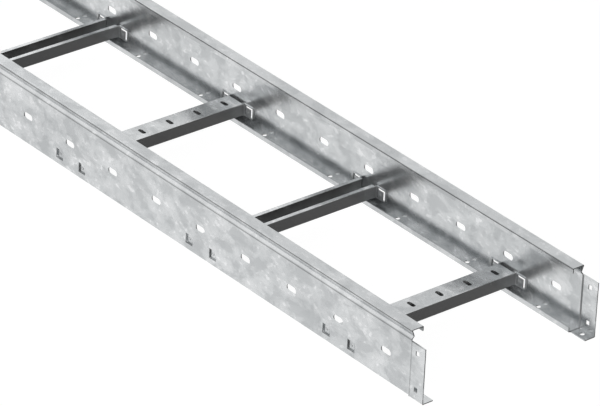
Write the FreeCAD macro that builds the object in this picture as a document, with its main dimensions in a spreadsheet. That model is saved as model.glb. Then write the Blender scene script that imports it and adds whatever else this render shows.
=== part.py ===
"""Cable ladder, 1.5 m long and 300 mm wide, in galvanised sheet steel.

Two roll-formed side rails stand on edge, open towards each other. Five C-shaped rungs lie between
their webs, turn about with the perforated side up and the open side up. Each rung ends in ears
that lie flat on the webs, and tabs lanced from the webs stand in windows of the ears to lock them.
The +X end of each rail is joggled outwards by one sheet, so that the next ladder's plain end
fits inside it and is bolted through square holes.

The frame is in millimetres: X along the ladder, Y across it, Z up, with the origin under the
middle of the whole length, on the plane that the bottom flanges rest on.
"""
import FreeCAD, Part
import os
import Sketcher

DRIVING_SIZES = {
    # Whole ladder
    "rung_count": 5,
    "rung_pitch": 300.0,
    "clear_width": 300.0,
    # Side rail section
    "rail_height": 100.0,
    "rail_sheet": 1.5,
    "flange_width": 20.0,
    "lip_clearance": 0.3,
    "groove_depth": 3.5,
    "groove_apex": 9.1,
    "groove_height": 13.5,
    # Obround slots along the web
    "slots_per_pitch": 3,
    "slot_length": 20.0,
    "slot_height": 10.0,
    "slot_level": 44.0,
    # Round holes along the bottom flange
    "flange_holes_per_pitch": 2,
    "flange_hole": 7.0,
    "flange_hole_inset": 8.0,
    # Joggled connector end, and the bolt holes that meet on the next ladder
    "connector_length": 30.0,
    "connector_drop": 15.0,
    "connector_ramp": 1.5,
    "connector_flange": 17.0,
    "bolt_square": 7.0,
    "bolt_round": 7.0,
    "bolt_from_end": 15.0,
    "bolt_low": 16.0,
    "bolt_high": 71.0,
    # Rung channel
    "rung_offset": 3.0,
    "rung_width": 35.0,
    "rung_height": 19.0,
    "rung_sheet": 1.5,
    "rung_level": 8.0,
    "rung_mouth": 21.0,
    "rung_setback": 4.0,
    "ear_length": 21.5,
    "ear_corner": 3.5,
    # Obround slots across the rung's web
    "cable_slot_count": 6,
    "cable_slot_pitch": 50.0,
    "cable_slot_length": 15.0,
    "cable_slot_width": 6.5,
    # Tabs lanced from the rail, their hinges counted outwards from the rung's walls
    "lance_length": 15.5,
    "lance_height": 15.2,
    "lance_level": 16.9,
    "lance_slit": 1.4,
    "lance_ramp": 3.5,
    "lance_depth": 2.5,
    "inner_hinge": 1.5,
    "outer_hinge": 16.0,
    # Windows in the rung's ears, that the tabs stand in
    "ear_slack": 0.3,
    "ear_window_past": 2.0,
    "ear_window_over": 1.3,
}

SHEET_NAME = "Sizes"
TO_YZ = FreeCAD.Rotation(FreeCAD.Vector(1, 1, 1), 120)
TO_XZ = FreeCAD.Rotation(FreeCAD.Vector(1, 0, 0), 90)
ORIGIN = (-1, 1)


class Size:
    """A length as a number, together with the expression over the sheet's cells that gives it."""

    def __init__(self, value, text):
        self.value = value
        self.text = text

    def _joined(self, sign, other, value):
        return Size(value, f"({self.text} {sign} {as_size(other).text})")

    def __add__(self, other):
        return self._joined("+", other, self.value + as_size(other).value)

    def __sub__(self, other):
        return self._joined("-", other, self.value - as_size(other).value)

    def __mul__(self, other):
        return self._joined("*", other, self.value * as_size(other).value)

    def __truediv__(self, other):
        return self._joined("/", other, self.value / as_size(other).value)

    def __rmul__(self, other):
        return as_size(other) * self

    def __neg__(self):
        return as_size(-1.0) * self


def as_size(number):
    """Wraps a plain number, and leaves a Size as it is."""
    return number if isinstance(number, Size) else Size(float(number), f"({float(number)})")


def cell(alias):
    """The named cell of the sheet."""
    return Size(float(DRIVING_SIZES[alias]), f"<<{SHEET_NAME}>>.{alias}")


def write_sheet(doc):
    """Puts the driving sizes into a spreadsheet, a name beside each value."""
    sheet = doc.addObject("Spreadsheet::Sheet", SHEET_NAME)
    for row, (alias, value) in enumerate(DRIVING_SIZES.items(), start=1):
        sheet.set(f"A{row}", alias)
        sheet.set(f"B{row}", str(value))
        sheet.setAlias(f"B{row}", alias)
    doc.recompute()


# Sizes that follow from the driving ones

ladder_run = cell("rung_count") * cell("rung_pitch")
whole_length = ladder_run + cell("connector_length")
slot_pitch = cell("rung_pitch") / cell("slots_per_pitch")
flange_hole_pitch = cell("rung_pitch") / cell("flange_holes_per_pitch")
lip_depth = cell("rung_level") - cell("lip_clearance")
rung_end = cell("clear_width") / 2
rung_wall = cell("rung_width") / 2
first_rung = cell("rung_pitch") / 2 + cell("rung_offset")
channel_end = rung_end - cell("rung_setback")
bolt_station = whole_length - cell("bolt_from_end")
joint_station = cell("connector_length") - cell("bolt_from_end")
lance_bottom = cell("lance_level") - cell("lance_height") / 2
lance_top = cell("lance_level") + cell("lance_height") / 2
tab_bottom = lance_bottom + cell("lance_slit")
tab_height = cell("lance_height") - 2 * cell("lance_slit")


def bind(thing, name, size):
    """Ties one property of an object to the sheet."""
    thing.setExpression(name, as_size(size).text)


def origin_feature(body, role):
    """One of the body's own planes or axes."""
    return next(item for item in body.Origin.OriginFeatures if item.Role == role)


def body_sketch(body, name, plane, lift=None):
    """A sketch on one of the body's origin planes, lifted along the plane's normal if asked."""
    sketch = body.newObject("Sketcher::SketchObject", name)
    sketch.AttachmentSupport = (origin_feature(body, plane), [""])
    sketch.MapMode = "FlatFace"
    if lift is not None:
        bind(sketch, "AttachmentOffset.Base.z", lift)
    return sketch


def place_point(sketch, line, end, across, up):
    """Fixes one end of a line, or a centre, at a distance from the sketch's origin."""
    for kind, size in (("DistanceX", across), ("DistanceY", up)):
        size = as_size(size)
        index = sketch.addConstraint(Sketcher.Constraint(kind, *ORIGIN, line, end, size.value))
        sketch.setExpression(f"Constraints[{index}]", size.text)


def vector(point):
    """The point as the sketcher's geometry takes it."""
    return FreeCAD.Vector(as_size(point[0]).value, as_size(point[1]).value, 0)


def draw_path(sketch, points, closed):
    """Draws straight lines through the points, each point held by two distances."""
    ends = points[1:] + points[:1] if closed else points[1:]
    first = sketch.GeometryCount
    for start, end in zip(points, ends):
        sketch.addGeometry(Part.LineSegment(vector(start), vector(end)))
    count = len(ends)
    joints = range(count) if closed else range(count - 1)
    for step in joints:
        sketch.addConstraint(
            Sketcher.Constraint("Coincident", first + step, 2, first + (step + 1) % count, 1))
    for step in range(count):
        place_point(sketch, first + step, 1, *points[step])
    if not closed:
        place_point(sketch, first + count - 1, 2, *points[-1])


def draw_rectangle(sketch, left, right, low, high):
    """A rectangle between two stations and two levels."""
    draw_path(sketch, [(left, low), (right, low), (right, high), (left, high)], closed=True)


def draw_circle(sketch, across, up, diameter):
    """A circle of the given diameter about a point."""
    radius = as_size(diameter) / 2
    index = sketch.addGeometry(
        Part.Circle(vector((across, up)), FreeCAD.Vector(0, 0, 1), radius.value))
    place_point(sketch, index, 3, across, up)
    held = sketch.addConstraint(Sketcher.Constraint("Radius", index, radius.value))
    sketch.setExpression(f"Constraints[{held}]", radius.text)


def draw_obround(sketch, across, up, length, width):
    """A slot with round ends, its long side along the sketch's first axis."""
    radius = as_size(width) / 2
    reach = as_size(length) / 2 - radius
    centres = (as_size(across) + reach, as_size(across) - reach)
    quarter = FreeCAD.Units.parseQuantity("90 deg").getValueAs("rad").Value
    ends = []
    for centre, start in zip(centres, (-quarter, quarter)):
        circle = Part.Circle(vector((centre, up)), FreeCAD.Vector(0, 0, 1), radius.value)
        ends.append(sketch.addGeometry(Part.ArcOfCircle(circle, start, start + 2 * quarter)))
    right, left = ends
    corners = [FreeCAD.Vector(centre.value, as_size(up).value + side * radius.value, 0)
               for centre, side in ((centres[0], 1), (centres[1], 1), (centres[1], -1), (centres[0], -1))]
    top = sketch.addGeometry(Part.LineSegment(corners[0], corners[1]))
    bottom = sketch.addGeometry(Part.LineSegment(corners[2], corners[3]))
    for pair in ((right, 2, top, 1), (top, 2, left, 1), (left, 2, bottom, 1), (bottom, 2, right, 1)):
        sketch.addConstraint(Sketcher.Constraint("Tangent", *pair))
    sketch.addConstraint(Sketcher.Constraint("Equal", right, left))
    for arc, centre in zip(ends, centres):
        held = sketch.addConstraint(
            Sketcher.Constraint("DistanceX", *ORIGIN, arc, 3, centre.value))
        sketch.setExpression(f"Constraints[{held}]", centre.text)
    level = as_size(up)
    held = sketch.addConstraint(Sketcher.Constraint("DistanceY", *ORIGIN, right, 3, level.value))
    sketch.setExpression(f"Constraints[{held}]", level.text)
    held = sketch.addConstraint(Sketcher.Constraint("Radius", right, radius.value))
    sketch.setExpression(f"Constraints[{held}]", radius.text)


def pad(body, name, sketch, height):
    """Raises the sketch along its normal."""
    feature = body.newObject("PartDesign::Pad", name)
    feature.Profile = sketch
    bind(feature, "Length", height)
    return feature


def pierce(body, name, sketch, sheet):
    """Cuts the sketch through one sheet that lies on either side of the sketch's plane."""
    feature = body.newObject("PartDesign::Pocket", name)
    feature.Profile = sketch
    feature.SideType = "Symmetric"
    bind(feature, "Length", 3 * sheet)
    return feature


def repeat(body, name, features, axis, pitch, count):
    """Repeats the features along one of the body's axes."""
    pattern = body.newObject("PartDesign::LinearPattern", name)
    pattern.Originals = features
    pattern.Direction = (origin_feature(body, axis), [""])
    bind(pattern, "Length", pitch * (as_size(count) - 1))
    bind(pattern, "Occurrences", count)
    body.Tip = pattern


def folded_bar(doc, name, path, rotation, length, symmetric):
    """Sheet metal of one section: the inner line of its folds, thickened outwards and extruded."""
    sheet = path["sheet"]
    line = doc.addObject("Sketcher::SketchObject", f"{name}_fold_line")
    draw_path(line, path["points"], closed=False)
    line.Placement = FreeCAD.Placement(FreeCAD.Vector(), rotation)
    section = doc.addObject("Part::Offset2D", f"{name}_section")
    section.Source = line
    section.Mode = "Skin"
    section.Join = "Arc"
    section.Fill = True
    bind(section, "Value", -sheet)
    bar = doc.addObject("Part::Extrusion", f"{name}_bar")
    bar.Base = section
    bar.DirMode = "Normal"
    bar.Solid = True
    bar.Symmetric = symmetric
    bind(bar, "LengthFwd", length)
    return bar


def rail_fold_line():
    """Inner line of the rail's section, as distance in from the web's outer face and level."""
    sheet = cell("rail_sheet")
    lip_face = cell("flange_width") - sheet
    top = cell("rail_height") - sheet
    groove_low = top - cell("groove_height")
    return [
        (lip_face, lip_depth),
        (lip_face, sheet),
        (sheet, sheet),
        (sheet, groove_low),
        (sheet + cell("groove_depth"), top - cell("groove_apex")),
        (sheet, top),
        (lip_face, top),
        (lip_face, cell("rail_height") - lip_depth),
    ]


def tab_outline(hinge, side):
    """Plan of a lanced tab that leaves the web at the hinge and steps inwards, towards side.

    It runs the other way along X. Its thickness is measured along Y.
    """
    sheet = cell("rail_sheet")
    ramp_end = hinge - side * cell("lance_ramp")
    free_edge = hinge - side * (cell("lance_length") - cell("lance_slit"))
    outer = side * cell("lance_depth")
    return [
        (hinge, 0),
        (ramp_end, outer),
        (free_edge, outer),
        (free_edge, outer + side * sheet),
        (ramp_end, outer + side * sheet),
        (hinge, side * sheet),
    ]


def lance(body, side):
    """Opens the two windows at the first rung's end, and stands the tabs in them."""
    windows = body_sketch(body, "LanceWindows", "XZ_Plane")
    tabs = body_sketch(body, "LanceTabs", "XY_Plane", tab_bottom)
    hinges = (first_rung - side * (rung_wall + cell("inner_hinge")),
              first_rung + side * (rung_wall + cell("outer_hinge")))
    for hinge in hinges:
        draw_rectangle(windows, hinge, hinge - side * cell("lance_length"), lance_bottom, lance_top)
        draw_path(tabs, tab_outline(hinge, side), closed=True)
    cut = pierce(body, "LanceCut", windows, cell("rail_sheet"))
    stand = pad(body, "LanceStand", tabs, tab_height)
    return [cut, stand]


def add_connector(body, side):
    """The joggled end: a web plate and bottom flange, set outwards by one sheet."""
    sheet = cell("rail_sheet")
    start = ladder_run
    ramp_end = start + cell("connector_ramp")
    end = whole_length
    plate = body_sketch(body, "ConnectorPlate", "XY_Plane")
    draw_path(plate, [(start, 0), (ramp_end, -side * sheet), (end, -side * sheet), (end, 0),
                      (ramp_end, 0), (start, side * sheet)], closed=True)
    pad(body, "ConnectorWeb", plate, cell("rail_height") - cell("connector_drop"))
    flange = body_sketch(body, "ConnectorFlange", "XY_Plane")
    inner_edge = side * cell("connector_flange")
    draw_path(flange, [(start, 0), (ramp_end, -side * sheet), (end, -side * sheet),
                       (end, inner_edge), (start, inner_edge)], closed=True)
    pad(body, "ConnectorFoot", flange, sheet)
    round_foot(body, side, ramp_end)


def round_foot(body, side, start):
    """Rounds the fold between the connector's web and its flange."""
    radius = cell("rail_sheet")
    corner = body_sketch(body, "FoldCorner", "YZ_Plane", start)
    draw_path(corner, [(-side * radius, radius), (-side * radius, 0), (0, 0)], closed=False)
    half_turn = FreeCAD.Units.parseQuantity("180 deg").getValueAs("rad").Value
    begin = half_turn if side > 0 else 1.5 * half_turn
    circle = Part.Circle(vector((0, radius)), FreeCAD.Vector(0, 0, 1), radius.value)
    arc = corner.addGeometry(Part.ArcOfCircle(circle, begin, begin + half_turn / 2))
    on_web, on_foot = (1, 2) if side > 0 else (2, 1)
    corner.addConstraint(Sketcher.Constraint("Coincident", arc, on_web, 0, 1))
    corner.addConstraint(Sketcher.Constraint("Coincident", arc, on_foot, 1, 2))
    held = corner.addConstraint(Sketcher.Constraint("Radius", arc, radius.value))
    corner.setExpression(f"Constraints[{held}]", radius.text)
    fold = body.newObject("PartDesign::Pocket", "FoldRound")
    fold.Profile = corner
    fold.Reversed = True
    bind(fold, "Length", cell("connector_length"))


def add_bolt_holes(body, side):
    """Square holes in the connector, and the round ones that meet them at the plain end."""
    sheet = cell("rail_sheet")
    half = cell("bolt_square") / 2
    square = body_sketch(body, "SquareHoles", "XZ_Plane")
    for level in (cell("bolt_low"), cell("bolt_high")):
        draw_rectangle(square, bolt_station - half, bolt_station + half, level - half, level + half)
    pierce(body, "SquareCut", square, sheet)
    joint = body_sketch(body, "JointHoles", "XZ_Plane")
    for level in (cell("bolt_low"), cell("bolt_high")):
        draw_circle(joint, joint_station, level - sheet, cell("bolt_round"))
    pierce(body, "JointCut", joint, sheet)
    feet = body_sketch(body, "FootHoles", "XY_Plane")
    for station in (joint_station, bolt_station):
        draw_circle(feet, station, side * cell("flange_hole_inset"), cell("flange_hole"))
    pierce(body, "FootCut", feet, sheet)


def add_web_slots(body):
    """The row of obround slots along the web."""
    slots = body_sketch(body, "WebSlots", "XZ_Plane")
    draw_obround(slots, slot_pitch / 2, cell("slot_level"), cell("slot_length"), cell("slot_height"))
    cut = pierce(body, "WebSlotCut", slots, cell("rail_sheet"))
    repeat(body, "WebSlotRow", [cut], "X_Axis", slot_pitch,
           cell("rung_count") * cell("slots_per_pitch"))


def add_flange_holes(body, side):
    """The row of round holes along the bottom flange."""
    holes = body_sketch(body, "FlangeHoles", "XY_Plane")
    draw_circle(holes, flange_hole_pitch / 2, side * cell("flange_hole_inset"), cell("flange_hole"))
    cut = pierce(body, "FlangeHoleCut", holes, cell("rail_sheet"))
    repeat(body, "FlangeHoleRow", [cut], "X_Axis", flange_hole_pitch,
           cell("rung_count") * cell("flange_holes_per_pitch"))


def make_rail(doc, label, bar, side):
    """One side rail, its web's outer face on the body's XZ plane and its plain end at X = 0.

    side is +1 where the rail opens towards +Y, and -1 where it opens towards -Y.
    """
    body = doc.addObject("PartDesign::Body", label)
    body.Label = label
    body.BaseFeature = bar
    add_connector(body, side)
    add_web_slots(body)
    add_flange_holes(body, side)
    repeat(body, "LanceRow", lance(body, side), "X_Axis", cell("rung_pitch"), cell("rung_count"))
    add_bolt_holes(body, side)
    body.Tip = body.Group[-1]
    bind(body, "Placement.Base.x", -whole_length / 2)
    bind(body, "Placement.Base.y", -side * (cell("clear_width") / 2 + cell("rail_sheet")))
    return body


def rung_fold_line(open_up):
    """Inner line of the rung's section, as distance from its middle and height over its foot.

    It runs the way round that puts the thickness on its outside.
    """
    sheet = cell("rung_sheet")
    wall = rung_wall - sheet
    mouth = cell("rung_mouth") / 2
    web, lips = cell("rung_height") - sheet, sheet
    turn = -1
    if open_up:
        web, lips = lips, web
        turn = 1
    points = [(-mouth, lips), (-wall, lips), (-wall, web), (wall, web), (wall, lips), (mouth, lips)]
    return points[::turn]


def draw_ear(sketch, turn):
    """Plan of one wall's end: straight on from the channel, then bent outwards along the web."""
    sheet = cell("rung_sheet")
    face = -rung_end
    bend = face + sheet
    wall = turn * rung_wall
    inner = wall - turn * sheet
    reach = wall + turn * cell("ear_length")
    points = [(wall, face), (reach, face), (reach, bend), (wall, bend), (wall, -channel_end),
              (inner, -channel_end), (inner, bend)]
    first = sketch.GeometryCount
    for start, end in zip(points, points[1:]):
        sketch.addGeometry(Part.LineSegment(vector(start), vector(end)))
    last = first + len(points) - 2
    for line in range(first, last):
        sketch.addConstraint(Sketcher.Constraint("Coincident", line, 2, line + 1, 1))
    for step, point in enumerate(points[:-1]):
        place_point(sketch, first + step, 1, *point)
    place_point(sketch, last, 2, *points[-1])
    half_turn = FreeCAD.Units.parseQuantity("180 deg").getValueAs("rad").Value
    begin = half_turn if turn > 0 else 1.5 * half_turn
    circle = Part.Circle(vector((wall, bend)), FreeCAD.Vector(0, 0, 1), sheet.value)
    arc = sketch.addGeometry(Part.ArcOfCircle(circle, begin, begin + half_turn / 2))
    on_wall, on_face = (1, 2) if turn > 0 else (2, 1)
    sketch.addConstraint(Sketcher.Constraint("Coincident", arc, on_wall, last, 2))
    sketch.addConstraint(Sketcher.Constraint("Coincident", arc, on_face, first, 1))
    held = sketch.addConstraint(Sketcher.Constraint("Radius", arc, sheet.value))
    sketch.setExpression(f"Constraints[{held}]", sheet.text)


def trim_ears(body, sheet):
    """Cuts the outer corners of the ears back."""
    corners = body_sketch(body, "EarCorners", "XZ_Plane", rung_end)
    back = cell("ear_corner")
    for turn in (1, -1):
        tip = turn * (rung_wall + cell("ear_length"))
        for edge, inwards in ((as_size(0), 1), (cell("rung_height"), -1)):
            draw_path(corners, [(tip, edge), (tip - turn * back, edge), (tip, edge + inwards * back)],
                      closed=True)
    return pierce(body, "EarTrim", corners, sheet)


def ear_windows(body, sheet):
    """Cuts the windows that the rail's tabs reach into, a little clear of them on every side."""
    windows = body_sketch(body, "EarWindows", "XZ_Plane", rung_end)
    slack = cell("ear_slack")
    inner = rung_wall + cell("inner_hinge")
    outer = rung_wall + cell("outer_hinge")
    low = tab_bottom - slack - cell("rung_level")
    high = lance_top + cell("ear_window_over") - cell("rung_level")
    draw_rectangle(windows, -(inner + cell("lance_length") + cell("ear_window_past")), slack - inner,
                   low, high)
    draw_rectangle(windows, outer - cell("lance_length") - slack, outer + slack, low, high)
    return pierce(body, "EarWindowCut", windows, sheet)


def make_rung(doc, name, open_up):
    """The pattern that the rungs are copied from, with its foot on the body's XY plane."""
    sheet = cell("rung_sheet")
    bar = folded_bar(doc, name, {"points": rung_fold_line(open_up), "sheet": sheet}, TO_XZ,
                     2 * channel_end, symmetric=True)
    body = doc.addObject("PartDesign::Body", name)
    body.BaseFeature = bar
    ears = body_sketch(body, "Ears", "XY_Plane")
    draw_ear(ears, 1)
    draw_ear(ears, -1)
    ear_pad = pad(body, "EarPad", ears, cell("rung_height"))
    trim = trim_ears(body, sheet)
    windows = ear_windows(body, sheet)
    both_ends = body.newObject("PartDesign::PolarPattern", "BothEnds")
    both_ends.Originals = [ear_pad, trim, windows]
    both_ends.Axis = (origin_feature(body, "Z_Axis"), [""])
    both_ends.Angle = 360
    both_ends.Occurrences = 2
    body.Tip = both_ends
    web = as_size(0) if open_up else cell("rung_height")
    slots = body_sketch(body, "CableSlots", "XY_Plane", web)
    first = -(cell("cable_slot_count") - 1) * cell("cable_slot_pitch") / 2
    draw_obround(slots, as_size(0), first, cell("cable_slot_length"), cell("cable_slot_width"))
    cut = pierce(body, "CableSlotCut", slots, sheet)
    repeat(body, "CableSlotRow", [cut], "Y_Axis", cell("cable_slot_pitch"), cell("cable_slot_count"))
    return body


def place_rung(doc, number, pattern):
    """One rung of the ladder, counted from the plain end."""
    body = doc.addObject("PartDesign::Body", f"rung_{number:02d}")
    body.Label = f"rung_{number:02d}"
    body.BaseFeature = pattern
    bind(body, "Placement.Base.x", first_rung + cell("rung_pitch") * (number - 1) - whole_length / 2)
    bind(body, "Placement.Base.z", cell("rung_level"))
    return body


def check_document(doc, pieces):
    """Stops with a plain message if any object failed or any piece has no sound solid."""
    for item in doc.Objects:
        if "Invalid" in item.State or "Error" in item.State:
            raise RuntimeError(f"{item.Label} failed to compute: {item.State}")
    for piece in pieces:
        if piece.Shape.isNull() or not piece.Shape.isValid() or len(piece.Shape.Solids) != 1:
            raise RuntimeError(f"{piece.Label} is not one sound solid")


def main():
    doc = FreeCAD.newDocument("cable_ladder")
    write_sheet(doc)
    rail_bar = folded_bar(doc, "rail", {"points": rail_fold_line(), "sheet": cell("rail_sheet")},
                          TO_YZ, ladder_run, symmetric=False)
    other_bar = doc.addObject("Part::Mirroring", "rail_bar_mirrored")
    other_bar.Source = rail_bar
    other_bar.Normal = FreeCAD.Vector(0, 1, 0)
    pieces = [
        make_rail(doc, "side_rail_right", rail_bar, 1),
        make_rail(doc, "side_rail_left", other_bar, -1),
    ]
    patterns = {
        "open": make_rung(doc, "rung_open_side_up", open_up=True),
        "closed": make_rung(doc, "rung_web_side_up", open_up=False),
    }
    count = int(DRIVING_SIZES["rung_count"])
    for number in range(1, count + 1):
        kind = "open" if (count - number) % 2 else "closed"
        pieces.append(place_rung(doc, number, patterns[kind]))
    doc.recompute()
    check_document(doc, pieces)
    os.makedirs("parts", exist_ok=True)
    for piece in pieces:
        piece.Shape.exportStep(f"parts/{piece.Label}.step")
        box = piece.Shape.BoundBox
        print(f"{piece.Label}: {piece.Shape.Volume / 1000:.1f} cm3, X {box.XMin:.1f} to {box.XMax:.1f}, "
              f"Y {box.YMin:.1f} to {box.YMax:.1f}, Z {box.ZMin:.1f} to {box.ZMax:.1f}, "
              f"{len(piece.Shape.Faces)} faces")


main()
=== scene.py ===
"""Galvanised cable ladder: looks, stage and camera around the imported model.

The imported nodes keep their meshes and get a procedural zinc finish. New pieces are the punched
clinch dots on the lanced tabs.
"""

import math
from typing import NamedTuple

import bmesh
import bpy
import numpy as np
from mathutils import Matrix, Vector


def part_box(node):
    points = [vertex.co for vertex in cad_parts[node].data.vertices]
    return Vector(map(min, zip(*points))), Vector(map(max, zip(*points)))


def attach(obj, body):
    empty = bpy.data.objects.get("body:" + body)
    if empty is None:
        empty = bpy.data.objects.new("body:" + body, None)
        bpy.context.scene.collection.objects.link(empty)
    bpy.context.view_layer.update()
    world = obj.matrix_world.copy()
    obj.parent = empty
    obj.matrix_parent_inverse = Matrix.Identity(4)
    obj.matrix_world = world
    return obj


bl_info = {
    "name": "Cable Ladder",
    "version": (1, 0, 0),
    "blender": (4, 5, 0),
    "location": "View3D > Sidebar > Cable Ladder",
    "description": "Dresses a galvanised cable ladder and sets its stage",
    "category": "Object",
}

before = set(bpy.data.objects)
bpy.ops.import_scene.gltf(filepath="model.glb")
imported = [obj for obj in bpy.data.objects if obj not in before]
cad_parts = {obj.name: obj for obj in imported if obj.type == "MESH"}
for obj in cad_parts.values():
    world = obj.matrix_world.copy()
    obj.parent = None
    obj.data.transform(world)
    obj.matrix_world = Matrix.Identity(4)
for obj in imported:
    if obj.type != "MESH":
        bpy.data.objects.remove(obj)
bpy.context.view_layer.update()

RAILS = sorted(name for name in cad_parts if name.startswith("side_rail"))
RUNGS = sorted(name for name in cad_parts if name.startswith("rung"))
MM = 0.001


class Line(NamedTuple):
    """A soft line on the sheet: its place, its half widths at full strength and at none."""

    middle: float
    flat: float
    reach: float
    strength: float = 1.0


class Ramp(NamedTuple):
    """A smooth rise or fall: its start at low and below, its end at high and above."""

    low: float
    high: float
    start: float = 0.0
    end: float = 1.0


class Parts(NamedTuple):
    """A place or a direction, taken apart."""

    along: "Socket"
    across: "Socket"
    up: "Socket"


class SoftPanel(NamedTuple):
    """A square lamp: its place and side in metres, its power in watts."""

    name: str
    place: tuple
    side: float
    power: float


# Places on the ladder, in metres. Across counts from the middle line to either side.
RAIL_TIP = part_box(RAILS[0])[1]
RUNG_LOW, RUNG_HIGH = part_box(RUNGS[0])
LAST_RUNG_LOW, LAST_RUNG_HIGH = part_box(RUNGS[-1])
FIRST_RUNG = (RUNG_LOW.x + RUNG_HIGH.x) / 2
LAST_RUNG = (LAST_RUNG_LOW.x + LAST_RUNG_HIGH.x) / 2
SHEET = 1.5 * MM
RAIL_TOP = RAIL_TIP.z
RAIL_END = RAIL_TIP.x - 30.0 * MM
WEB = RAIL_TIP.y - 2 * SHEET
LIP = RAIL_TIP.y - 20.0 * MM
TAB_LEVEL = 16.9 * MM
TAB_FACE = WEB - 1.0 * MM

# The rail's folds: where lines of painted shade lie, and the painted highlight on the groove's lower
# slope
TOP_FACE = Line(RAIL_TOP - 1.0 * MM, 0.3 * MM, 1.2 * MM)
TOP_FOLD = Line(RAIL_TOP - 2.2 * MM, 0.5 * MM, 1.8 * MM)
UPPER_SHADE_LINE = Line(RAIL_TOP - 5.5 * MM, 0.3 * MM, 1.4 * MM, 0.10)
LOWER_SHADE_LINE = Line(RAIL_TOP - 8.0 * MM, 0.4 * MM, 1.8 * MM, 0.15)
GROOVE_SLOPE = Line(RAIL_TOP - 11.6 * MM, 1.0 * MM, 2.4 * MM, 0.42)
GROOVE_END = RAIL_TOP - 15.0 * MM
GROOVE_FOOT = Line(GROOVE_END - 0.1 * MM, 0.3 * MM, 1.5 * MM, 0.7)
JOGGLE_INSIDE = Line(RAIL_END + 0.7 * MM, 0.4 * MM, 1.4 * MM, 1.3)
JOGGLE_OUTSIDE = Line(RAIL_END + 2.5 * MM, 0.6 * MM, 1.7 * MM, 0.468)
PLATE_START = RAIL_END + 0.5 * MM
LIP_SLACK = 0.1 * MM
FOLD_SHADE = 0.1

# The joints: the tabs' windows, the ears, and the two depths between which their inner faces lie
TAB_WINDOW = Line(TAB_LEVEL, 8.5 * MM, 8.8 * MM)
EAR = Line((RUNG_LOW.z + RUNG_HIGH.z) / 2, 9.8 * MM, 10.5 * MM)
JOINT_FRONT = WEB - 3.5 * MM
JOINT_BACK = WEB - 1.3 * MM

# The normal's part across times the place across, over which a face looks out from the ladder
OUTWARD = 0.02

# Faces by the normal's part along an axis or by place, and how much bare steel or painted shade they
# get: cut edges and window sills, painted shade on the flange tops, low on the rails' inner faces and
# on the rungs' walls
CUT_EDGE = Ramp(0.70, 0.86)
WINDOW_ENDS = 0.5
WINDOW_SILLS = 0.45
FLANGE_TOP = Ramp(0.70, 0.95, end=0.4)
FOOT = Ramp(21.0 * MM, 28.0 * MM, start=0.24, end=0.0)
RUNG_WALL = Ramp(0.30, 0.62)
WALL_END = Ramp(WEB - 45.0 * MM, WEB, end=0.22)

# The zinc's pattern: waves to a cloud or to a crystal, and what each kind of mark adds
STRETCH = (0.72, 1.0, 1.0)
BORDER_WAVES, BORDER_REACH = 1.4, 0.7
PATCH_WAVES = 0.35
FLECK_WAVES = 1.5
GRAIN_WAVES = 9.0
LIGHT_CLOUD = Ramp(0.50, 0.64, end=0.34)
DARK_CLOUD = Ramp(0.48, 0.60, end=0.55)
LIGHT_PATCH = Ramp(0.50, 0.66, end=0.16)
DARK_PATCH = Ramp(0.50, 0.64, end=0.25)
FLECK = Ramp(0.58, 0.70, end=0.7)
FLECK_CLOUD = Ramp(0.42, 0.54)
LIGHT_CRYSTAL, LIGHT_CRYSTAL_GAIN = 0.72, 0.10
DARK_CRYSTAL, DARK_CRYSTAL_GAIN = 0.25, 0.12
GRAIN_SHARE = 0.3
RELIEF, RELIEF_STRENGTH = 0.6 * MM, 0.03
LIGHT_MIRROR_LOSS = 0.08
WORKED_MIRROR_LOSS = 0.40
ROUGHNESS_SPREAD = 0.12

# The clinch dots' mesh
DOT_RINGS, DOT_STEPS = 11, 24
DOT_LIFT = 0.02 * MM
DOT_SINK = 0.15 * MM
MERGED = 0.001 * MM

# The stage
WHITE = (1.0, 1.0, 1.0, 1.0)
LAMP_TARGET = (0.2, 0.0, 0.05)
PANELS = (
    SoftPanel("front_panel", place=(2.6, -3.4, 2.4), side=4.0, power=75.0),
    SoftPanel("back_panel", place=(-4.2, 0.8, 1.9), side=3.0, power=32.0),
)
SENSOR_WIDTH_MM = 36.0
CLIP_NEAR, CLIP_FAR = 0.1, 100.0


class Socket:
    """One socket of a material's node tree, so that shader maths reads as Python expressions."""

    def __init__(self, tree, socket):
        self.tree = tree
        self.socket = socket

    def _math(self, operation, *others, swapped=False):
        values = [self, *others]
        if swapped:
            values.reverse()
        return self.tree.node("ShaderNodeMath", {"operation": operation}, *values)

    def __add__(self, other):
        return self._math("ADD", other)

    def __radd__(self, other):
        return self._math("ADD", other, swapped=True)

    def __sub__(self, other):
        return self._math("SUBTRACT", other)

    def __rsub__(self, other):
        return self._math("SUBTRACT", other, swapped=True)

    def __mul__(self, other):
        return self._math("MULTIPLY", other)

    def __rmul__(self, other):
        return self._math("MULTIPLY", other, swapped=True)

    def __gt__(self, limit):
        return self._math("GREATER_THAN", limit)

    def __lt__(self, limit):
        return self._math("LESS_THAN", limit)

    def absolute(self):
        """Its size without its sign."""
        return self._math("ABSOLUTE")

    def least(self, other):
        """The smaller of the two."""
        return self._math("MINIMUM", other)

    def most(self, other):
        """The larger of the two."""
        return self._math("MAXIMUM", other)

    def over(self, ramp):
        """Where it stands on a ramp."""
        return self.tree.node("ShaderNodeMapRange", {"interpolation_type": "SMOOTHSTEP"}, self, *ramp)

    def near(self, line):
        """The line's strength on its middle, falling softly to 0 at its reach on either side."""
        return (self - line.middle).absolute().over(Ramp(line.flat, line.reach, line.strength, 0.0))


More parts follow.
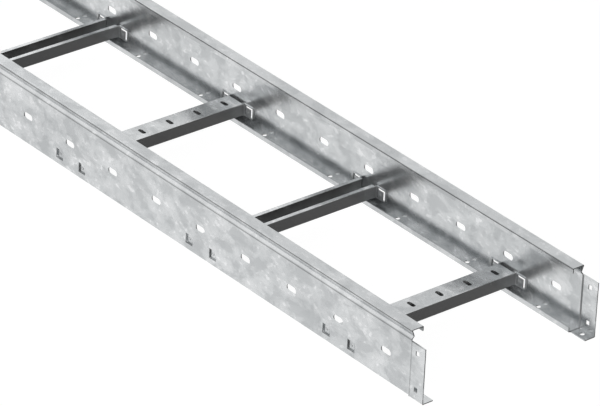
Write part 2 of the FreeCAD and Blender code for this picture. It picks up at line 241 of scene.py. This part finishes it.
class Tree:
    """The node tree of a material or a world, filled by node() alone."""

    def __init__(self, name):
        self.material = bpy.data.materials.new(name)
        self.material.use_nodes = True
        self._start(self.material.node_tree)

    @classmethod
    def of(cls, world):
        """The tree of a world instead of a material's."""
        tree = cls.__new__(cls)
        tree._start(world.node_tree)
        return tree

    def _start(self, node_tree):
        self.nodes = node_tree.nodes
        self.links = node_tree.links
        self.nodes.clear()

    def node(self, kind, settings, *inputs, out=None, **named):
        """Adds a node, makes its settings, fills its sockets in order and by name.

        Gives the output called out, or the first one, or the node itself where it has none.
        """
        node = self.nodes.new(kind)
        for key, value in settings.items():
            setattr(node, key, value)
        sockets = [socket for socket in node.inputs if socket.enabled]
        for socket, value in zip(sockets, inputs):
            self._fill(socket, value)
        for key, value in named.items():
            wanted = key.replace("_", " ").lower()
            self._fill(next(socket for socket in sockets if socket.name.lower() == wanted), value)
        outputs = [socket for socket in node.outputs if socket.enabled]
        if not outputs:
            return node
        return Socket(self, next(socket for socket in outputs if out in (None, socket.name)))

    def _fill(self, socket, value):
        if isinstance(value, Socket):
            self.links.new(value.socket, socket)
        else:
            socket.default_value = value

    def more(self, first, *names):
        """Further outputs, by their names, of the node that first is an output of."""
        return [Socket(self, first.socket.node.outputs[name]) for name in names]

    def parts(self, vector):
        """A vector's parts along, across and up the ladder."""
        along = self.node("ShaderNodeSeparateXYZ", {}, vector)
        return Parts(along, *self.more(along, "Y", "Z"))

    def colour_mix(self, share, first, second):
        """first where share is 0, second where it is 1."""
        return self.node("ShaderNodeMix", {"data_type": "RGBA", "blend_type": "MIX"},
                         share, first, second)

    def noise(self, where, scale, detail=2.0, roughness=0.5, distortion=0.0, out=None):
        """Cloudy noise from 0 to 1."""
        return self.node("ShaderNodeTexNoise", {"noise_dimensions": "3D"}, out=out,
                         vector=where, scale=scale, detail=detail, roughness=roughness,
                         distortion=distortion)

    def in_sight(self):
        """1 for rays from the camera, from a reflection or through glass, and 0 for the light's own."""
        camera = self.node("ShaderNodeLightPath", {}, out="Is Camera Ray")
        mirrored, through = self.more(camera, "Is Glossy Ray", "Is Transmission Ray")
        return camera.most(mirrored).most(through)

    def finish(self, shader):
        """Joins the shader to the material's output."""
        self.node("ShaderNodeOutputMaterial", {}, shader)
        return self.material


def rgba(colour):
    """A property's three numbers as a colour with full opacity."""
    return (*colour, 1.0)


class LadderFinish(bpy.types.PropertyGroup):
    """Colours and textures of the zinc."""

    zinc: bpy.props.FloatVectorProperty(
        name="Zinc", description="Middle colour of the galvanised sheet", subtype="COLOR",
        size=3, min=0.0, max=1.0, default=(0.625, 0.642, 0.65))
    zinc_light: bpy.props.FloatVectorProperty(
        name="Light spangle", description="Colour of the brightest zinc crystals", subtype="COLOR",
        size=3, min=0.0, max=1.0, default=(0.88, 0.89, 0.90))
    zinc_dark: bpy.props.FloatVectorProperty(
        name="Dark spangle", description="Colour of the dullest zinc crystals", subtype="COLOR",
        size=3, min=0.0, max=1.0, default=(0.455, 0.47, 0.48))
    spangle: bpy.props.FloatProperty(
        name="Spangle", description="Width of a zinc crystal", subtype="DISTANCE", unit="LENGTH",
        default=0.011, min=0.002, max=0.05)
    cloud: bpy.props.FloatProperty(
        name="Cloud", description="Width of a lighter or darker patch in the zinc",
        subtype="DISTANCE", unit="LENGTH", default=0.030, min=0.01, max=0.3)
    metallic: bpy.props.FloatProperty(
        name="Metallic", description="How far the zinc mirrors instead of scattering",
        default=0.90, min=0.0, max=1.0)
    roughness: bpy.props.FloatProperty(
        name="Roughness", description="Bluntness of the zinc's reflections",
        default=0.25, min=0.05, max=1.0)
    # Strength of the painted shade along the rail's folds
    seam: bpy.props.FloatProperty(
        name="Seam", description="How much light the rail's folds swallow",
        default=0.75, min=0.0, max=1.0)
    # Bare steel colour of the cut edges, also the colour of the painted shade on the rungs' upright
    # walls
    raw_and_shade: bpy.props.FloatVectorProperty(
        name="Raw steel", description="Colour of the cut edges and of the rungs' dull walls",
        subtype="COLOR", size=3, min=0.0, max=1.0, default=(0.15, 0.15, 0.15))


class LadderStage(bpy.types.PropertyGroup):
    """Floor, even light and camera."""

    floor_size: bpy.props.FloatProperty(
        name="Floor", description="Side of the floor", subtype="DISTANCE", unit="LENGTH",
        default=40.0, min=5.0, max=200.0)
    floor_colour: bpy.props.FloatVectorProperty(
        name="Floor colour", description="Colour of the pale floor", subtype="COLOR",
        size=3, min=0.0, max=1.0, default=(0.16, 0.16, 0.16))
    floor_glow: bpy.props.FloatProperty(
        name="Floor glow", description="White that the floor shows to the eye and in reflections",
        default=0.95, min=0.0, max=2.0)
    sky: bpy.props.FloatProperty(
        name="Sky", description="Strength of the even light from all round", default=0.20,
        min=0.0, max=2.0)
    backdrop: bpy.props.FloatProperty(
        name="Backdrop", description="White that the world shows to the eye and in reflections",
        default=1.0, min=0.0, max=2.0)
    azimuth: bpy.props.FloatProperty(
        name="Azimuth", description="The camera's bearing round the ladder", subtype="ANGLE",
        unit="ROTATION", default=math.radians(49.782))
    elevation: bpy.props.FloatProperty(
        name="Elevation", description="The camera's height above the horizon", subtype="ANGLE",
        unit="ROTATION", default=math.radians(29.007))
    roll: bpy.props.FloatProperty(
        name="Roll", description="The camera's turn about its own line of sight",
        subtype="ANGLE", unit="ROTATION", default=math.radians(2.610))
    distance: bpy.props.FloatProperty(
        name="Distance", description="From the camera to the point it looks at",
        subtype="DISTANCE", unit="LENGTH", default=6.848)
    look_at: bpy.props.FloatVectorProperty(
        name="Look at", description="The point at the middle of the picture",
        subtype="TRANSLATION", unit="LENGTH", size=3, default=(0.495, -0.1515, 0.1816))
    lens: bpy.props.FloatProperty(
        name="Lens", description="Focal length for a 36 mm sensor", subtype="DISTANCE_CAMERA",
        default=307.2, min=10.0, max=1000.0)


class LadderDots(bpy.types.PropertyGroup):
    """Punched dots in the middle of the lanced tabs."""

    rungs: bpy.props.IntProperty(
        name="Rungs", description="How many rungs the ladder has", default=len(RUNGS), min=1, max=20)
    rung_pitch: bpy.props.FloatProperty(
        name="Rung pitch", description="From one rung's middle to the next", subtype="DISTANCE",
        unit="LENGTH", default=(LAST_RUNG - FIRST_RUNG) / (len(RUNGS) - 1), min=0.1, max=0.6)
    first_rung: bpy.props.FloatProperty(
        name="First rung", description="Place of the first rung's middle along the ladder",
        subtype="DISTANCE", unit="LENGTH", default=FIRST_RUNG)
    outer_tab: bpy.props.FloatProperty(
        name="Outer tab", description="From a rung's middle to the middle of the tab that points away",
        subtype="DISTANCE", unit="LENGTH", default=0.0278)
    inner_tab: bpy.props.FloatProperty(
        name="Inner tab", description="From a rung's middle to the middle of the tab that points at it",
        subtype="DISTANCE", unit="LENGTH", default=0.0247)
    tab_level: bpy.props.FloatProperty(
        name="Tab level", description="Height of the tabs' middles over the ground",
        subtype="DISTANCE", unit="LENGTH", default=TAB_LEVEL)
    tab_face: bpy.props.FloatProperty(
        name="Tab face", description="From the ladder's middle to the tabs' outer faces",
        subtype="DISTANCE", unit="LENGTH", default=TAB_FACE)
    sheet: bpy.props.FloatProperty(
        name="Sheet", description="Thickness of the rail's sheet", subtype="DISTANCE",
        unit="LENGTH", default=SHEET, min=0.0005, max=0.005)
    diameter: bpy.props.FloatProperty(
        name="Dot", description="Diameter of a clinch dot", subtype="DISTANCE", unit="LENGTH",
        default=0.0046, min=0.001, max=0.01)
    height: bpy.props.FloatProperty(
        name="Dot height", description="How far a clinch dot stands proud of its tab",
        subtype="DISTANCE", unit="LENGTH", default=0.0006, min=0.0001, max=0.003)


def facing_out(place, normal):
    """1 on faces that look away from the ladder's middle line, 0 on all others."""
    return (normal.across * place.across) > OUTWARD


def painted_fold_lines(place, normal):
    """The rail's folds: painted shade and a painted highlight there.

    Lines of painted shade run under the top corner, at the groove's foot, along the inner edge of
    the top flange and down the web at the joggle, and two faint ones lie on the groove's upper
    slope. The groove's lower slope gets a painted highlight.
    """
    outside = facing_out(place, normal)
    depth = place.across.absolute()
    corners = place.up.near(TOP_FOLD).most(place.up.near(GROOVE_FOOT))
    slope_shade = place.up.near(UPPER_SHADE_LINE) + place.up.near(LOWER_SHADE_LINE)
    flange_edge = place.up.near(TOP_FACE) * (depth < LIP + LIP_SLACK)
    joggle = place.along.near(JOGGLE_INSIDE) * (1.0 - outside)
    joggle = joggle.most(place.along.near(JOGGLE_OUTSIDE) * outside)
    joggle = joggle * (place.up < GROOVE_END) * (depth > LIP)
    painted_shade = outside * (corners + slope_shade) + joggle + flange_edge
    painted_highlight = outside * place.up.near(GROOVE_SLOPE)
    return painted_shade.least(1.0), painted_highlight


def painted_top_and_foot_shade(place, normal):
    """Painted shade, as how much darker the zinc is drawn: most on the rails' top flanges, less low on
    their inner faces.
    """
    tops = normal.up.over(FLANGE_TOP) * (place.up > TOP_FACE.middle)
    foot = place.up.over(FOOT) * (1.0 - facing_out(place, normal)) * (place.along < PLATE_START)
    return tops + foot


def raw_edges(place, normal):
    """1 on the rail's cut edges that look along it, less in the tabs' windows and on their sills."""
    window = place.up.near(TAB_WINDOW) * (place.across.absolute() > JOINT_FRONT)
    ends = normal.along.absolute().over(CUT_EDGE) * (1.0 - window * WINDOW_ENDS)
    sills = normal.up.absolute().over(CUT_EDGE) * window * WINDOW_SILLS
    return ends.most(sills)


def painted_wall_shade(place, normal):
    """Painted shade: 1 on the rungs' upright walls, a little less where they near the rails, and 0 on
    top.
    """
    return normal.along.absolute().over(RUNG_WALL) * (1.0 - place.across.absolute().over(WALL_END))


def worked_faces(place):
    """1 on the inner faces of the rungs' ears and the rails' tabs, where the zinc mirrors less."""
    depth = place.across.absolute()
    return place.up.near(EAR) * (depth > JOINT_FRONT) * (depth < JOINT_BACK)


def mottling(tree, place, finish):
    """The zinc's pattern: how light it is, how dark, and its clouds and grain, from 0 to 1.

    Crystals with bent borders have a shade each. Clouds of a few crystals and wider patches lie
    over them, and small flecks shine where the clouds are light.
    """
    where = tree.node("ShaderNodeVectorMath", {"operation": "MULTIPLY"}, place, STRETCH)
    warp = tree.noise(where, BORDER_WAVES / finish.cloud, out="Color")
    bent = tree.node("ShaderNodeVectorMath", {"operation": "MULTIPLY_ADD"},
                     warp, (finish.spangle * BORDER_REACH,) * 3, where)
    crystals = tree.node("ShaderNodeTexVoronoi", {"feature": "F1"}, out="Color",
                         vector=bent, scale=1.0 / finish.spangle, randomness=1.0)
    shade = tree.node("ShaderNodeSeparateColor", {}, crystals)
    clouds = tree.noise(where, 1.0 / finish.cloud, detail=4.0, roughness=0.6, distortion=0.3)
    patches = tree.noise(where, PATCH_WAVES / finish.cloud)
    grain = tree.noise(where, GRAIN_WAVES / finish.spangle, roughness=0.6)
    flecks = tree.noise(where, FLECK_WAVES / finish.spangle, detail=1.0)
    flecks = flecks.over(FLECK) * clouds.over(FLECK_CLOUD)
    light = (clouds.over(LIGHT_CLOUD) + (shade > LIGHT_CRYSTAL) * LIGHT_CRYSTAL_GAIN
             + patches.over(LIGHT_PATCH) + flecks).least(1.0)
    dark = ((1.0 - clouds).over(DARK_CLOUD) + (shade < DARK_CRYSTAL) * DARK_CRYSTAL_GAIN
            + (1.0 - patches).over(DARK_PATCH)).least(1.0)
    return light, dark, clouds, grain


def zinc_material(name, finish, folded=False):
    """Galvanised sheet. A rail's is folded, with painted shade along its folds, on its flange tops and
    low on its inner faces, a painted highlight on its groove, and bare steel cut edges; a rung's has
    painted shade on its walls.
    """
    tree = Tree(name)
    object_place = tree.node("ShaderNodeTexCoord", {}, out="Object")
    place = tree.parts(object_place)
    normal = tree.parts(tree.node("ShaderNodeTexCoord", {}, out="Normal"))
    light, dark, clouds, grain = mottling(tree, object_place, finish)
    colour = tree.colour_mix(light, rgba(finish.zinc), rgba(finish.zinc_light))
    colour = tree.colour_mix(dark, colour, rgba(finish.zinc_dark))
    if folded:
        # Painted shade along the rail's folds
        painted_shade, painted_highlight = painted_fold_lines(place, normal)
        painted_fold_colour = rgba([FOLD_SHADE * part for part in finish.zinc_dark])
        # Painted highlight on the groove's lower slope
        colour = tree.colour_mix(painted_highlight, colour, rgba(finish.zinc_light))
        colour = tree.colour_mix(painted_shade * finish.seam, colour, painted_fold_colour)
        # Painted shade on the rails' flange tops and low on their inner faces
        colour = tree.colour_mix(painted_top_and_foot_shade(place, normal), colour, rgba(finish.zinc_dark))
    # Bare steel on the rails' cut edges; painted shade on the rungs' upright walls
    raw_and_shade = raw_edges(place, normal) if folded else painted_wall_shade(place, normal)
    colour = tree.colour_mix(raw_and_shade, colour, rgba(finish.raw_and_shade))
    metallic = finish.metallic - light * LIGHT_MIRROR_LOSS - worked_faces(place) * WORKED_MIRROR_LOSS
    roughness = finish.roughness + (clouds - 0.5) * ROUGHNESS_SPREAD
    height = grain * GRAIN_SHARE + clouds * (1.0 - GRAIN_SHARE)
    bump = tree.node("ShaderNodeBump", {}, strength=RELIEF_STRENGTH, distance=RELIEF, height=height)
    shader = tree.node("ShaderNodeBsdfPrincipled", {}, base_color=colour,
                       metallic=(1.0 - raw_and_shade) * metallic, roughness=roughness,
                       normal=bump, specular_ior_level=0.3)
    return tree.finish(shader)


def assign(thing, material):
    """Puts the material into every slot of the object."""
    if not thing.data.materials:
        thing.data.materials.append(material)
    for index in range(len(thing.data.materials)):
        thing.data.materials[index] = material


class LADDER_OT_rails(bpy.types.Operator):
    """Gives the two side rails their galvanised finish"""

    bl_idname = "ladder.rails"
    bl_label = "Side Rails"

    def execute(self, context):
        finish = context.scene.ladder_finish
        material = zinc_material("galvanised_steel_rails", finish, folded=True)
        for name in RAILS:
            assign(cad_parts[name], material)
        return {"FINISHED"}


class LADDER_OT_rungs(bpy.types.Operator):
    """Gives the rungs their galvanised finish"""

    bl_idname = "ladder.rungs"
    bl_label = "Rungs"

    def execute(self, context):
        finish = context.scene.ladder_finish
        material = zinc_material("galvanised_steel_rungs", finish)
        for name in RUNGS:
            assign(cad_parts[name], material)
        return {"FINISHED"}


def tab_middles(dots):
    """Middle of each lanced tab, as place along, rail side (-1 near, 1 far): two at each rung end."""
    centres = dots.first_rung + dots.rung_pitch * np.arange(dots.rungs)
    aside = np.array((dots.outer_tab, -dots.inner_tab))
    places = centres[:, None, None] + np.array((-1.0, 1.0))[None, :, None] * aside
    sides = np.broadcast_to(np.array((-1.0, 1.0))[None, :, None], places.shape)
    return places.ravel(), sides.ravel()


def dot_surfaces(dots, outward):
    """Round dots on the tabs' outer faces, or on their inner ones where outward is -1.

    Each dot is a disc in polar steps. From its middle out to its radius R, its height over the
    tab is H times the square of sin(pi r / R) on the outer face, a raised ring round a pit, and
    H times (1 - (r / R)^2) on the inner face, a low dome. Its rim then sinks into the sheet and
    closes under the middle.
    """
    share = np.append(np.linspace(0.0, 1.0, DOT_RINGS - 2), (1.0, 0.0))
    angle = np.arange(DOT_STEPS) * (2 * np.pi / DOT_STEPS)
    radius = share * dots.diameter / 2
    if outward > 0:
        height = dots.height * np.sin(np.pi * share) ** 2
    else:
        height = dots.height * (1.0 - share ** 2)
    height = height + DOT_LIFT
    height[-2:] = -DOT_SINK
    places, sides = tab_middles(dots)
    face = dots.tab_face if outward > 0 else dots.tab_face - dots.sheet
    along = places[:, None, None] + (radius[:, None] * np.cos(angle))[None]
    up = dots.tab_level + (radius[:, None] * np.sin(angle))[None]
    across = sides[:, None, None] * (face + outward * height)[None, :, None]
    points = np.stack(np.broadcast_arrays(along, across, up), axis=-1).reshape(-1, 3)
    ring_starts = np.arange(DOT_RINGS - 1)[:, None] * DOT_STEPS
    inner = (ring_starts + np.arange(DOT_STEPS)).ravel()
    turned = (ring_starts + np.roll(np.arange(DOT_STEPS), -1)).ravel()
    quads = np.stack((inner, turned, turned + DOT_STEPS, inner + DOT_STEPS), axis=-1)
    faces = quads[None] + (np.arange(len(places)) * DOT_RINGS * DOT_STEPS)[:, None, None]
    flipped = sides * outward < 0
    faces[flipped] = faces[flipped][..., ::-1]
    return points, faces.reshape(-1, 4)


def mesh_object(name, points, faces, material):
    """A smooth object at the origin from points and four-cornered faces, with its poles merged."""
    mesh = bpy.data.meshes.new(name)
    mesh.from_pydata(points.tolist(), [], faces.tolist())
    shell = bmesh.new()
    shell.from_mesh(mesh)
    bmesh.ops.remove_doubles(shell, verts=shell.verts, dist=MERGED)
    shell.to_mesh(mesh)
    shell.free()
    mesh.polygons.foreach_set("use_smooth", np.ones(len(mesh.polygons), dtype=bool))
    mesh.update()
    thing = bpy.data.objects.new(name, mesh)
    bpy.context.scene.collection.objects.link(thing)
    mesh.materials.append(material)
    return thing


class LADDER_OT_dots(bpy.types.Operator):
    """Adds the clinch dots punched into the lanced tabs"""

    bl_idname = "ladder.dots"
    bl_label = "Clinch Dots"

    def execute(self, context):
        dots = context.scene.ladder_dots
        material = zinc_material("galvanised_steel_dots", context.scene.ladder_finish)
        for name, outward in (("clinch_rings", 1.0), ("clinch_domes", -1.0)):
            thing = mesh_object(name, *dot_surfaces(dots, outward), material)
            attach(thing, "root")
        return {"FINISHED"}


def make_floor(stage):
    """A square floor that the ladder lies on, white to the eye and in reflections."""
    half = stage.floor_size / 2
    mesh = bpy.data.meshes.new("floor")
    mesh.from_pydata([(-half, -half, 0), (half, -half, 0), (half, half, 0), (-half, half, 0)],
                     [], [(0, 1, 2, 3)])
    floor = bpy.data.objects.new("floor", mesh)
    bpy.context.scene.collection.objects.link(floor)
    tree = Tree("pale_floor")
    diffuse = tree.node("ShaderNodeBsdfDiffuse", {}, color=rgba(stage.floor_colour))
    glow = tree.node("ShaderNodeEmission", {}, color=WHITE, strength=stage.floor_glow)
    both = tree.node("ShaderNodeAddShader", {}, diffuse, glow)
    shader = tree.node("ShaderNodeMixShader", {}, tree.in_sight(), diffuse, both)
    mesh.materials.append(tree.finish(shader))
    return floor


def make_world(scene, stage):
    """A dim even sky for the light, and white where it is looked at, mirrored or seen through."""
    world = bpy.data.worlds.new("studio")
    world.use_nodes = True
    scene.world = world
    tree = Tree.of(world)
    light = tree.node("ShaderNodeBackground", {}, color=WHITE, strength=stage.sky)
    white = tree.node("ShaderNodeBackground", {}, color=WHITE, strength=stage.backdrop)
    shader = tree.node("ShaderNodeMixShader", {}, tree.in_sight(), light, white)
    tree.node("ShaderNodeOutputWorld", {}, shader)


def aim(thing, place, target):
    """Puts a lamp at a place, looking at the target, with its top upwards."""
    thing.location = place
    thing.rotation_mode = "QUATERNION"
    thing.rotation_quaternion = (Vector(target) - Vector(place)).to_track_quat("-Z", "Y")


def make_lamps():
    """A soft panel beside the camera and a weaker one behind the plain end."""
    lamps = []
    for panel in PANELS:
        light = bpy.data.lights.new(panel.name, "AREA")
        light.shape = "SQUARE"
        light.size = panel.side
        light.energy = panel.power
        lamp = bpy.data.objects.new(panel.name, light)
        bpy.context.scene.collection.objects.link(lamp)
        aim(lamp, panel.place, LAMP_TARGET)
        lamps.append(lamp)
    return lamps


def make_camera(scene, stage):
    """The camera of the picture: bearing, height and roll about the point it looks at."""
    data = bpy.data.cameras.new("camera")
    data.sensor_width = SENSOR_WIDTH_MM
    data.lens = stage.lens
    data.clip_start = CLIP_NEAR
    data.clip_end = CLIP_FAR
    camera = bpy.data.objects.new("camera", data)
    scene.collection.objects.link(camera)
    azimuth, elevation = stage.azimuth, stage.elevation
    back = Vector((math.cos(elevation) * math.sin(azimuth),
                   -math.cos(elevation) * math.cos(azimuth), math.sin(elevation)))
    right = Vector((math.cos(azimuth), math.sin(azimuth), 0.0))
    up = back.cross(right)
    across = math.cos(stage.roll) * right + math.sin(stage.roll) * up
    above = -math.sin(stage.roll) * right + math.cos(stage.roll) * up
    turn = Matrix((across, above, back)).transposed()
    camera.rotation_mode = "QUATERNION"
    camera.rotation_quaternion = turn.to_quaternion()
    camera.location = Vector(stage.look_at) + back * stage.distance
    scene.camera = camera


class LADDER_OT_stage(bpy.types.Operator):
    """Sets the pale floor, the soft lamps and the camera"""

    bl_idname = "ladder.stage"
    bl_label = "Stage"

    def execute(self, context):
        stage = context.scene.ladder_stage
        floor = make_floor(stage)
        lamps = make_lamps()
        make_world(context.scene, stage)
        make_camera(context.scene, stage)
        context.scene.view_settings.view_transform = "Standard"
        return {"FINISHED"}


class LADDER_PT_panel(bpy.types.Panel):
    """Lists the ladder's pieces and its stage"""

    bl_idname = "LADDER_PT_panel"
    bl_label = "Cable Ladder"
    bl_space_type = "VIEW_3D"
    bl_region_type = "UI"
    bl_category = "Cable Ladder"

    def draw(self, context):
        for operator in OPERATORS:
            self.layout.operator(operator.bl_idname)
        for group, _ in GROUPS:
            settings = getattr(context.scene, group)
            box = self.layout.box()
            for key in settings.bl_rna.properties.keys():
                if key not in ("rna_type", "name"):
                    box.prop(settings, key)


OPERATORS = (LADDER_OT_rails, LADDER_OT_rungs, LADDER_OT_dots, LADDER_OT_stage)
GROUPS = (("ladder_finish", LadderFinish), ("ladder_dots", LadderDots), ("ladder_stage", LadderStage))


def register():
    for _, group in GROUPS:
        bpy.utils.register_class(group)
    for operator in OPERATORS:
        bpy.utils.register_class(operator)
    bpy.utils.register_class(LADDER_PT_panel)
    for name, group in GROUPS:
        setattr(bpy.types.Scene, name, bpy.props.PointerProperty(type=group))


def unregister():
    for name, _ in GROUPS:
        delattr(bpy.types.Scene, name)
    bpy.utils.unregister_class(LADDER_PT_panel)
    for operator in reversed(OPERATORS):
        bpy.utils.unregister_class(operator)
    for _, group in reversed(GROUPS):
        bpy.utils.unregister_class(group)


def main():
    register()
    for operator in OPERATORS:
        group, name = operator.bl_idname.split(".")
        getattr(getattr(bpy.ops, group), name)()


if __name__ == "__main__":
    main()
